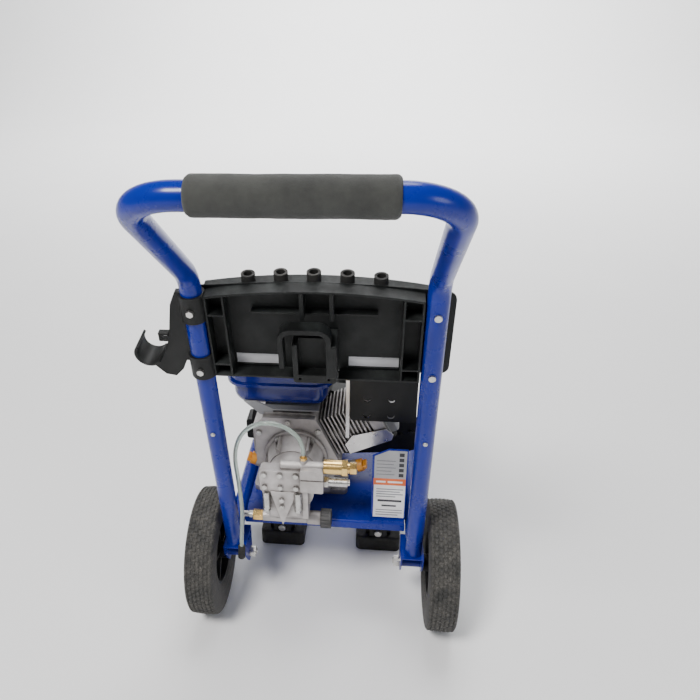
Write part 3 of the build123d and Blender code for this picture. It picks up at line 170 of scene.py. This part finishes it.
# The cast, zinc, bright-sheet and brass looks below set a grime strength that also paints shade into their
# hollows.
LOOKS["cast"] = finish_look("cast_aluminium", (0.60, 0.57, 0.56), (0.40, 0.375, 0.365), (0.34, 0.58),
                            metal=0.6, patch=26.0, grain=1300.0, depth=0.0006, strength=0.6, soft=0.0016,
                            worn=(0.88, 0.86, 0.85), wear=0.8, dust=(0.22, 0.18, 0.15), dusty=0.25, grime_and_crevice_shade=0.85)
LOOKS["zinc"] = finish_look("zinc_steel", (0.66, 0.65, 0.63), (0.50, 0.49, 0.47), (0.20, 0.42), metal=0.95,
                            patch=60.0, grain=2200.0, depth=0.0001, strength=0.2, soft=0.0006,
                            worn=(0.9, 0.9, 0.9), wear=0.5, dust=(0.3, 0.27, 0.24), dusty=0.1, grime_and_crevice_shade=0.5)
LOOKS["bright"] = finish_look("bright_sheet", (0.78, 0.76, 0.75), (0.62, 0.60, 0.60), (0.22, 0.40),
                              metal=0.85, patch=18.0, grain=1800.0, depth=0.0001, strength=0.2,
                              stretch=(1.0, 1.0, 0.15), worn=(0.95, 0.95, 0.95), wear=0.4, grime_and_crevice_shade=0.5)
LOOKS["grey"] = finish_look("grey_paint", (0.30, 0.30, 0.305), (0.22, 0.22, 0.225), (0.32, 0.52),
                            metal=0.2, grain=900.0, depth=0.0002, worn=(0.5, 0.5, 0.5), wear=0.5,
                            dust=(0.3, 0.29, 0.27), dusty=0.15)
LOOKS["iron"] = finish_look("machined_iron", (0.24, 0.23, 0.23), (0.15, 0.145, 0.14), (0.3, 0.5),
                            metal=0.8, patch=20.0, grain=1500.0, depth=0.0003, worn=(0.6, 0.6, 0.6), wear=0.5)
LOOKS["black_sheet"] = finish_look("black_sheet", (0.0040, 0.0045, 0.0045), (0.0070, 0.0070, 0.0070),
                                   (0.34, 0.52), grain=700.0, depth=0.0002, strength=0.3,
                                   worn=(0.10, 0.10, 0.10), wear=0.4, dust=(0.06, 0.055, 0.05),
                                   dusty=0.2, shine=0.28)
LOOKS["black_plastic"] = finish_look("black_plastic", (0.0035, 0.0040, 0.0040), (0.0060, 0.0065, 0.0065),
                                     (0.38, 0.58), grain=2600.0, depth=0.0003, strength=0.4, soft=0.0012,
                                     worn=(0.06, 0.06, 0.06), wear=0.4, dust=(0.05, 0.048, 0.045),
                                     dusty=0.2, shine=0.28)
LOOKS["panel"] = finish_look("panel_plastic", (0.0040, 0.0048, 0.0048), (0.0070, 0.0080, 0.0080), (0.42, 0.64),
                             grain=2200.0, depth=0.0004, strength=0.45, soft=0.0014,
                             worn=(0.07, 0.075, 0.075), wear=0.5, dust=(0.060, 0.068, 0.066),
                             dusty=0.4, shine=0.28)
LOOKS["swivel"] = finish_look("swivel_plastic", (0.028, 0.028, 0.030), (0.045, 0.044, 0.044), (0.4, 0.6),
                              grain=1800.0, depth=0.0003, soft=0.001, worn=(0.14, 0.14, 0.14), wear=0.5,
                              dust=(0.14, 0.13, 0.12), dusty=0.25)
LOOKS["white"] = finish_look("white_plastic", (0.74, 0.74, 0.76), (0.62, 0.62, 0.65), (0.3, 0.45),
                             grain=600.0, depth=0.0001, dust=(0.4, 0.38, 0.36), dusty=0.25)
LOOKS["red"] = finish_look("red_plastic", (0.50, 0.012, 0.010), (0.38, 0.010, 0.010), (0.25, 0.4),
                           grain=1500.0, depth=0.0001, soft=0.001, worn=(0.6, 0.1, 0.08), wear=0.4)
LOOKS["orange"] = finish_look("orange_plastic", (0.80, 0.33, 0.035), (0.62, 0.24, 0.020), (0.28, 0.45),
                              patch=40.0, grain=1500.0, depth=0.0002, soft=0.0012, worn=(0.95, 0.62, 0.2),
                              wear=0.4, dust=(0.35, 0.24, 0.12), dusty=0.15)
LOOKS["rubber"] = finish_look("black_rubber", (0.006, 0.006, 0.006), (0.012, 0.012, 0.011), (0.62, 0.85),
                              patch=20.0, grain=1600.0, depth=0.0004, strength=0.5, soft=0.0015,
                              dust=(0.12, 0.11, 0.10), dusty=0.35)
LOOKS["brass"] = finish_look("brass", (0.95, 0.66, 0.25), (0.82, 0.52, 0.17), (0.16, 0.28), metal=0.92,
                             patch=50.0, grain=900.0, depth=0.00005, strength=0.1, soft=0.0007,
                             worn=(0.97, 0.80, 0.42), wear=0.4, dust=(0.3, 0.18, 0.08), dusty=0.1, grime_and_crevice_shade=0.3)
LOOKS["ceramic"] = finish_look("ceramic", (0.8, 0.79, 0.74), (0.7, 0.69, 0.64), (0.1, 0.2),
                               grain=500.0, depth=0.00005)


def tyre_look():
    """Dusty rubber: lighter on the tread's blocks, dark and scuffed in its grooves and sidewalls."""
    look = Look("tyre_rubber")
    grime_and_crevice_shade = look.noise(45.0, 6.0, 0.7)
    fine = look.noise(420.0, 4.0, 0.6)
    base = look.mix(look.ramp(grime_and_crevice_shade, 0.32, 0.7), (0.020, 0.020, 0.019), (0.060, 0.057, 0.052))
    rounded, edge = look.edges(0.0012)
    base = look.mix(look.math("MULTIPLY", edge, 0.5), base, (0.13, 0.125, 0.115))
    dust = look.math("MULTIPLY", look.ramp(fine, 0.45, 0.75), look.ramp(grime_and_crevice_shade, 0.4, 0.62))
    base = look.mix(look.math("MULTIPLY", dust, 0.6), base, (0.20, 0.185, 0.165))
    look.wire(base, "Base Color")
    look.wire(look.ramp(grime_and_crevice_shade, 0.3, 0.7, 0.62, 0.88), "Roughness")
    look.wire(look.bump(fine, 0.5, 0.0005, rounded), "Normal")
    return look


def foam_look():
    """Closed-cell foam sleeve: fine pores with painted shade in them, softly mottled, with a faint nap at
    grazing angles.
    """
    look = Look("foam")
    pores = look.add("ShaderNodeTexVoronoi", {"Vector": look.where, "Scale": 1500.0}).outputs["Distance"]
    cloud = look.noise(30.0, 6.0, 0.65)
    base = look.mix(look.ramp(cloud, 0.3, 0.7), (0.020, 0.021, 0.019), (0.042, 0.044, 0.039))
    # Painted shade: pore centres are darkened towards near-black, as if shadowed inside each pore.
    base = look.mix(look.ramp(pores, 0.25, 0.02, 0.0, 0.6), base, (0.006, 0.006, 0.006))
    look.wire(base, "Base Color")
    look.set(Roughness=0.92, Sheen_Weight=0.12, Sheen_Roughness=0.6)
    height = look.math("ADD", pores, look.math("MULTIPLY", look.noise(160.0, 4.0, 0.6), 1.2))
    look.wire(look.bump(height, 0.6, 0.0006), "Normal")
    return look


def hose_look():
    """Clear PVC hose with a greenish cast."""
    look = Look("clear_hose")
    cloud = look.noise(60.0, 4.0, 0.6)
    look.wire(look.mix(cloud, (0.50, 0.60, 0.54), (0.62, 0.70, 0.64)), "Base Color")
    look.set(Roughness=0.12, Transmission_Weight=0.62, IOR=1.42, Coat_Weight=0.4)
    look.wire(look.bump(look.noise(90.0), 0.15, 0.0004), "Normal")
    return look


LOOKS["tyre"] = tyre_look()
LOOKS["foam"] = foam_look()
LOOKS["hose"] = hose_look()

BY_SLOT = {
    "blue_paint": "blue", "zinc_steel": "zinc", "cast_aluminium": "cast", "bright_sheet": "bright",
    "grey_sheet": "grey", "cast_iron": "iron", "black_sheet": "black_sheet", "tank_paint": "tank",
    "black_plastic": "black_plastic", "panel_plastic": "panel", "white_plastic": "white",
    "red_plastic": "red", "orange_plastic": "orange", "foam": "foam", "rubber": "rubber",
    "tyre": "tyre", "brass": "brass", "ceramic": "ceramic", "clear_hose": "hose",
}
SLOT_OF = {part["node"]: part["material_slot"] for part in frame["record"]["subparts"]}
NODE_LOOKS = {"inlet_swivel": "swivel", "pump_manifold": "cast"}

for name, node in NODES.items():
    look = LOOKS[NODE_LOOKS.get(name, BY_SLOT[SLOT_OF[name]])]
    node.data.materials.clear()
    node.data.materials.append(look.mat)


# ------------------------------------------------------------------ mesh helpers
def add_piece(name, bm, look, body=ROOT, smooth=True, replaces=()):
    """Turns a bmesh into a piece that rides on a body."""
    mesh = bpy.data.meshes.new(name)
    bmesh.ops.recalc_face_normals(bm, faces=bm.faces)
    bm.to_mesh(mesh)
    bm.free()
    obj = bpy.data.objects.new(name, mesh)
    bpy.context.scene.collection.objects.link(obj)
    mesh.materials.append(LOOKS[look].mat)
    for face in mesh.polygons:
        face.use_smooth = smooth
    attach(obj, body)
    if replaces:
        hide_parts(*replaces)
    return obj


def ring_grid(bm, rings):
    """Joins rings of equal length into a closed tube round an axis."""
    rows = [[bm.verts.new(p) for p in ring] for ring in rings]
    count = len(rows)
    for i in range(count):
        a, b = rows[i], rows[(i + 1) % count]
        for j in range(len(a)):
            k = (j + 1) % len(a)
            bm.faces.new((a[j], a[k], b[k], b[j]))
    return rows


# ------------------------------------------------------------------ tyres
def tyre(side):
    """Tyre with staggered tread blocks and moulded sidewalls."""
    node = f"tyre_{side}"
    low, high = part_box(node)
    centre = (low + high) / 2
    half, outer = (high.x - low.x) / 2, (high.z - low.z) / 2
    seat_radius, seat = 68.0 * MM, 23.0 * MM
    tread_half, depth, blocks = 24.0 * MM, 2.6 * MM, 66
    across = 24
    profile = []
    for i in range(across + 1):
        x = -tread_half + 2 * tread_half * i / across
        crown = 1.6 * MM * (x / tread_half) ** 2
        profile.append((x, outer - crown, "tread"))
    wall = [(tread_half + 2.5 * MM, outer - 5 * MM), (half - 1.2 * MM, outer - 13 * MM),
            (half, outer - 24 * MM), (half - 0.3 * MM, outer - 34 * MM), (half - 1.8 * MM, outer - 42 * MM),
            (half - 1.2 * MM, outer - 44 * MM), (half - 2.4 * MM, outer - 46 * MM),
            (seat + 3.5 * MM, seat_radius + 8 * MM), (seat + 2.0 * MM, seat_radius + 3 * MM),
            (seat, seat_radius)]
    profile += [(x, r, "wall") for x, r in wall]
    profile += [(-x, r, "wall") for x, r in reversed(wall)]
    steps = blocks * 6
    bm = bmesh.new()
    rings = []
    for step in range(steps):
        angle = FULL_TURN * step / steps
        ring = []
        for x, radius, zone in profile:
            if zone == "tread":
                row = round((x + tread_half) / (2 * tread_half) * 6)
                across_phase = (x + tread_half) / (2 * tread_half) * 6 - row
                along_phase = (step / 6.0 + 0.5 * (row % 2)) % 1.0
                groove = abs(across_phase) > 0.34 or along_phase < 0.25
                radius -= depth if groove and abs(x) < tread_half * 0.98 else 0.0
                if abs(x) >= tread_half * 0.98 and along_phase < 0.25:
                    radius -= depth * 0.7
            ring.append((centre.x + x, centre.y + radius * math.sin(angle),
                         centre.z + radius * math.cos(angle)))
        rings.append(ring)
    ring_grid(bm, rings)
    obj = add_piece(f"{node}_tread", bm, "tyre", f"wheel_{side}", True, (node,))
    obj.data.set_sharp_from_angle(angle=math.radians(35))
    return obj


for side in ("right", "left"):
    tyre(side)


# ------------------------------------------------------------------ foam grip
def foam_grip():
    """Foam sleeve with softened ends, slight dents and a bore on the tube."""
    low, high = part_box("foam_grip")
    centre, half = (low + high) / 2, (high.x - low.x) / 2
    outer, bore = (high.y - low.y) / 2, 16.05 * MM
    bm = bmesh.new()
    round_end = 6.0 * MM
    stations = [(-half, bore), (-half, outer - round_end)]
    for i in range(1, 7):
        a = math.pi / 2 * i / 6
        stations.append((-half + round_end * (1 - math.cos(a)), outer - round_end * (1 - math.sin(a))))
    stations += [(-half + round_end + (2 * half - 2 * round_end) * i / 60, outer) for i in range(1, 60)]
    stations += [(-x, r) for x, r in reversed(stations[:8])]
    spokes = 72
    rows = []
    for x, radius in stations:
        row = []
        for k in range(spokes):
            angle = FULL_TURN * k / spokes
            swell = noise.noise(Vector((x * 28, math.cos(angle) * 1.3, math.sin(angle) * 1.3))) * 0.55 * MM
            swell += noise.noise(Vector((x * 120, math.cos(angle) * 5, math.sin(angle) * 5))) * 0.18 * MM
            r = radius + (min(swell - 0.5 * MM, 0.0) if radius > outer - round_end / 2 else 0.0)
            row.append(bm.verts.new((centre.x + x, centre.y + r * math.cos(angle),
                                     centre.z + r * math.sin(angle))))
        rows.append(row)
    rows.append(rows[0])
    for a, b in zip(rows, rows[1:]):
        for k in range(spokes):
            m = (k + 1) % spokes
            bm.faces.new((a[k], a[m], b[m], b[k]))
    grip = add_piece("grip_sleeve", bm, "foam", ROOT, True, ("foam_grip",))
    return grip


foam_grip()


# ------------------------------------------------------------------ siphon hose
HOSE_ROUTE = [
    (-0.032, -0.035, 0.408), (-0.032, -0.035, 0.436), (-0.057, -0.038, 0.468), (-0.098, -0.038, 0.480),
    (-0.140, -0.036, 0.457), (-0.160, -0.034, 0.404), (-0.152, -0.044, 0.342), (-0.147, -0.055, 0.284),
    (-0.151, -0.060, 0.238), (-0.153, -0.062, 0.204),
]


def siphon_hose():
    """Clear suction hose from the injector barb, over and down beside the left upright."""
    curve = bpy.data.curves.new("siphon_line", "CURVE")
    curve.dimensions = "3D"
    spline = curve.splines.new("NURBS")
    spline.points.add(len(HOSE_ROUTE) - 1)
    for point, place in zip(spline.points, HOSE_ROUTE):
        point.co = (*place, 1.0)
    spline.order_u = 3
    spline.use_endpoint_u = True
    spline.resolution_u = 12
    curve.bevel_depth = 0.004
    curve.bevel_resolution = 5
    curve.use_fill_caps = True
    obj = bpy.data.objects.new("siphon_line", curve)
    bpy.context.scene.collection.objects.link(obj)
    curve.materials.append(LOOKS["hose"].mat)
    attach(obj, ROOT)
    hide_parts("siphon_hose")
    return obj


siphon_hose()


# ------------------------------------------------------------------ decals
def flat_look(name, colour, rough=0.4):
    """A printed colour with slight mottling."""
    look = Look(name)
    shade = tuple(c * 0.86 for c in colour)
    look.wire(look.mix(look.ramp(look.noise(35.0, 5.0, 0.6), 0.35, 0.7), colour, shade), "Base Color")
    look.wire(look.ramp(look.noise(80.0, 4.0), 0.3, 0.7, rough - 0.08, rough + 0.1), "Roughness")
    LOOKS[name] = look


flat_look("label_white", (0.93, 0.92, 0.91))
flat_look("label_grey", (0.40, 0.40, 0.41))
flat_look("label_orange", (0.78, 0.16, 0.04))
flat_look("label_ink", (0.035, 0.035, 0.04))
flat_look("label_mid", (0.22, 0.22, 0.23))


def sticker(name, outline, y, thick, look):
    """A flat sticker on a plate that faces the user, from its (x, z) outline in millimetres."""
    bm = bmesh.new()
    back = [bm.verts.new((x * MM, y, z * MM)) for x, z in outline]
    front = [bm.verts.new((x * MM, y - thick, z * MM)) for x, z in outline]
    bm.faces.new(back)
    bm.faces.new(list(reversed(front)))
    for i in range(len(outline)):
        j = (i + 1) % len(outline)
        bm.faces.new((back[j], back[i], front[i], front[j]))
    return add_piece(name, bm, look, ROOT, False)


def box_outline(x0, x1, z0, z1):
    """Four corners of a flat rectangle, in millimetres."""
    return [(x0, z0), (x1, z0), (x1, z1), (x0, z1)]


def plate_label():
    """Care label on the upright plate: grey panel, coloured band and white panel with plain bars."""
    face = 0.020
    step = 0.00015
    left, right = 96.0, 156.0
    sticker("label_top", [(left, 319), (right, 319), (right, 385), (left + 26, 385), (left, 371)],
            face, step, "label_grey")
    sticker("label_band", box_outline(left - 1, right, 303, 319), face, 2 * step, "label_orange")
    sticker("label_base", box_outline(left, right, 222, 303), face, step, "label_white")
    bars = [(100, 118, 309, 313, "label_white"), (122, 150, 309, 313, "label_white"),
            (101, 152, 292, 294, "label_mid"), (101, 146, 286, 288, "label_mid"),
            (101, 152, 280, 282, "label_mid"), (101, 138, 274, 276, "label_mid"),
            (104, 150, 262, 267, "label_ink"), (112, 140, 250, 254, "label_ink"),
            (101, 152, 240, 242, "label_mid"), (101, 152, 234, 236, "label_mid"),
            (101, 144, 228, 230, "label_mid"),
            (100, 136, 360, 362, "label_mid"), (100, 132, 352, 354, "label_mid"),
            (100, 136, 344, 346, "label_mid"), (100, 128, 336, 338, "label_mid"),
            (100, 134, 328, 330, "label_mid")]
    for i in range(5):
        z = 324 + 12 * i
        bars.append((142, 151, z, z + 8, "label_ink"))
    for i, (x0, x1, z0, z1, look) in enumerate(bars):
        sticker(f"label_bar_{i}", box_outline(x0, x1, z0, z1), face - 2 * step, step, look)


plate_label()


# ------------------------------------------------------------------ camera, floor and light
CAMERA_PLACE = Vector((0.0904, -0.9915, 1.1532))
CAMERA_YAW, CAMERA_PITCH, CAMERA_ROLL = (math.radians(a) for a in (7.3, 28.8, -1.7))
SENSOR_WIDTH, LENS_LENGTH, LENS_SHIFT = 36.0, 34.5086, 0.071429
MIDDLE = (0.0, 0.0, 0.45)
WORLD_COLOUR, WORLD_STRENGTH = (0.95, 0.97, 1.0, 1.0), 0.22


def stage():
    """White floor that curves up into a wall far behind the machine."""
    half, front, bend, top, radius = 14.0, -9.0, 5.0, 9.0, 3.0
    section = [(front, 0.0), (bend, 0.0)]
    for i in range(1, 13):
        a = math.pi / 2 * i / 12
        section.append((bend + radius * math.sin(a), radius * (1 - math.cos(a))))
    section.append((bend + radius, top))
    bm = bmesh.new()
    rows = [[bm.verts.new((x, y, z - 0.0005)) for x in (-half, half)] for y, z in section]
    for a, b in zip(rows, rows[1:]):
        bm.faces.new((a[0], a[1], b[1], b[0]))
    mesh = bpy.data.meshes.new("backdrop")
    bm.to_mesh(mesh)
    bm.free()
    for face in mesh.polygons:
        face.use_smooth = True
    backdrop = bpy.data.objects.new("backdrop", mesh)
    bpy.context.scene.collection.objects.link(backdrop)
    look = Look("backdrop")
    look.wire(look.mix(look.noise(3.0, 4.0), (0.90, 0.90, 0.90), (0.87, 0.87, 0.875)), "Base Color")
    look.set(Roughness=0.8)
    mesh.materials.append(look.mat)


def area_light(name, place, target, size, power, colour=(1, 1, 1)):
    """A round lamp of a size in metres and a power in watts that faces its target."""
    data = bpy.data.lights.new(name, "AREA")
    data.shape = "DISK"
    data.size = size
    data.energy = power
    data.color = colour
    lamp = bpy.data.objects.new(name, data)
    lamp.location = place
    lamp.rotation_euler = (Vector(target) - Vector(place)).to_track_quat("-Z", "Y").to_euler()
    bpy.context.scene.collection.objects.link(lamp)


def camera():
    """Camera above and behind the handle, looking down at the pump."""
    yaw, pitch, roll = CAMERA_YAW, CAMERA_PITCH, CAMERA_ROLL
    ahead = Vector((-math.sin(yaw) * math.cos(pitch), math.cos(yaw) * math.cos(pitch), -math.sin(pitch)))
    right = Vector((math.cos(yaw), math.sin(yaw), 0))
    up = right.cross(ahead)
    across = math.cos(roll) * right + math.sin(roll) * up
    upright = -math.sin(roll) * right + math.cos(roll) * up
    data = bpy.data.cameras.new("camera")
    data.sensor_width, data.lens, data.shift_x = SENSOR_WIDTH, LENS_LENGTH, LENS_SHIFT
    data.clip_start, data.clip_end = 0.02, 60.0
    cam = bpy.data.objects.new("camera", data)
    turn = Matrix((across, upright, -ahead)).transposed()
    cam.matrix_world = Matrix.Translation(CAMERA_PLACE) @ turn.to_4x4()
    bpy.context.scene.collection.objects.link(cam)
    bpy.context.scene.camera = cam


stage()
camera()
area_light("key", (-1.0, -1.7, 3.0), MIDDLE, 0.9, 115.0, (1.0, 0.98, 0.96))
area_light("fill", (2.2, -1.6, 1.4), MIDDLE, 1.2, 18.0, (0.95, 0.97, 1.0))
area_light("sky", (0.2, 0.9, 3.2), MIDDLE, 1.4, 45.0)
area_light("wall", (0.0, 4.0, 5.0), (0.0, 7.5, 2.0), 4.0, 900.0)
world = bpy.data.worlds.new("world")
world.use_nodes = True
background = world.node_tree.nodes["Background"]
background.inputs["Color"].default_value = WORLD_COLOUR
background.inputs["Strength"].default_value = WORLD_STRENGTH
bpy.context.scene.world = world
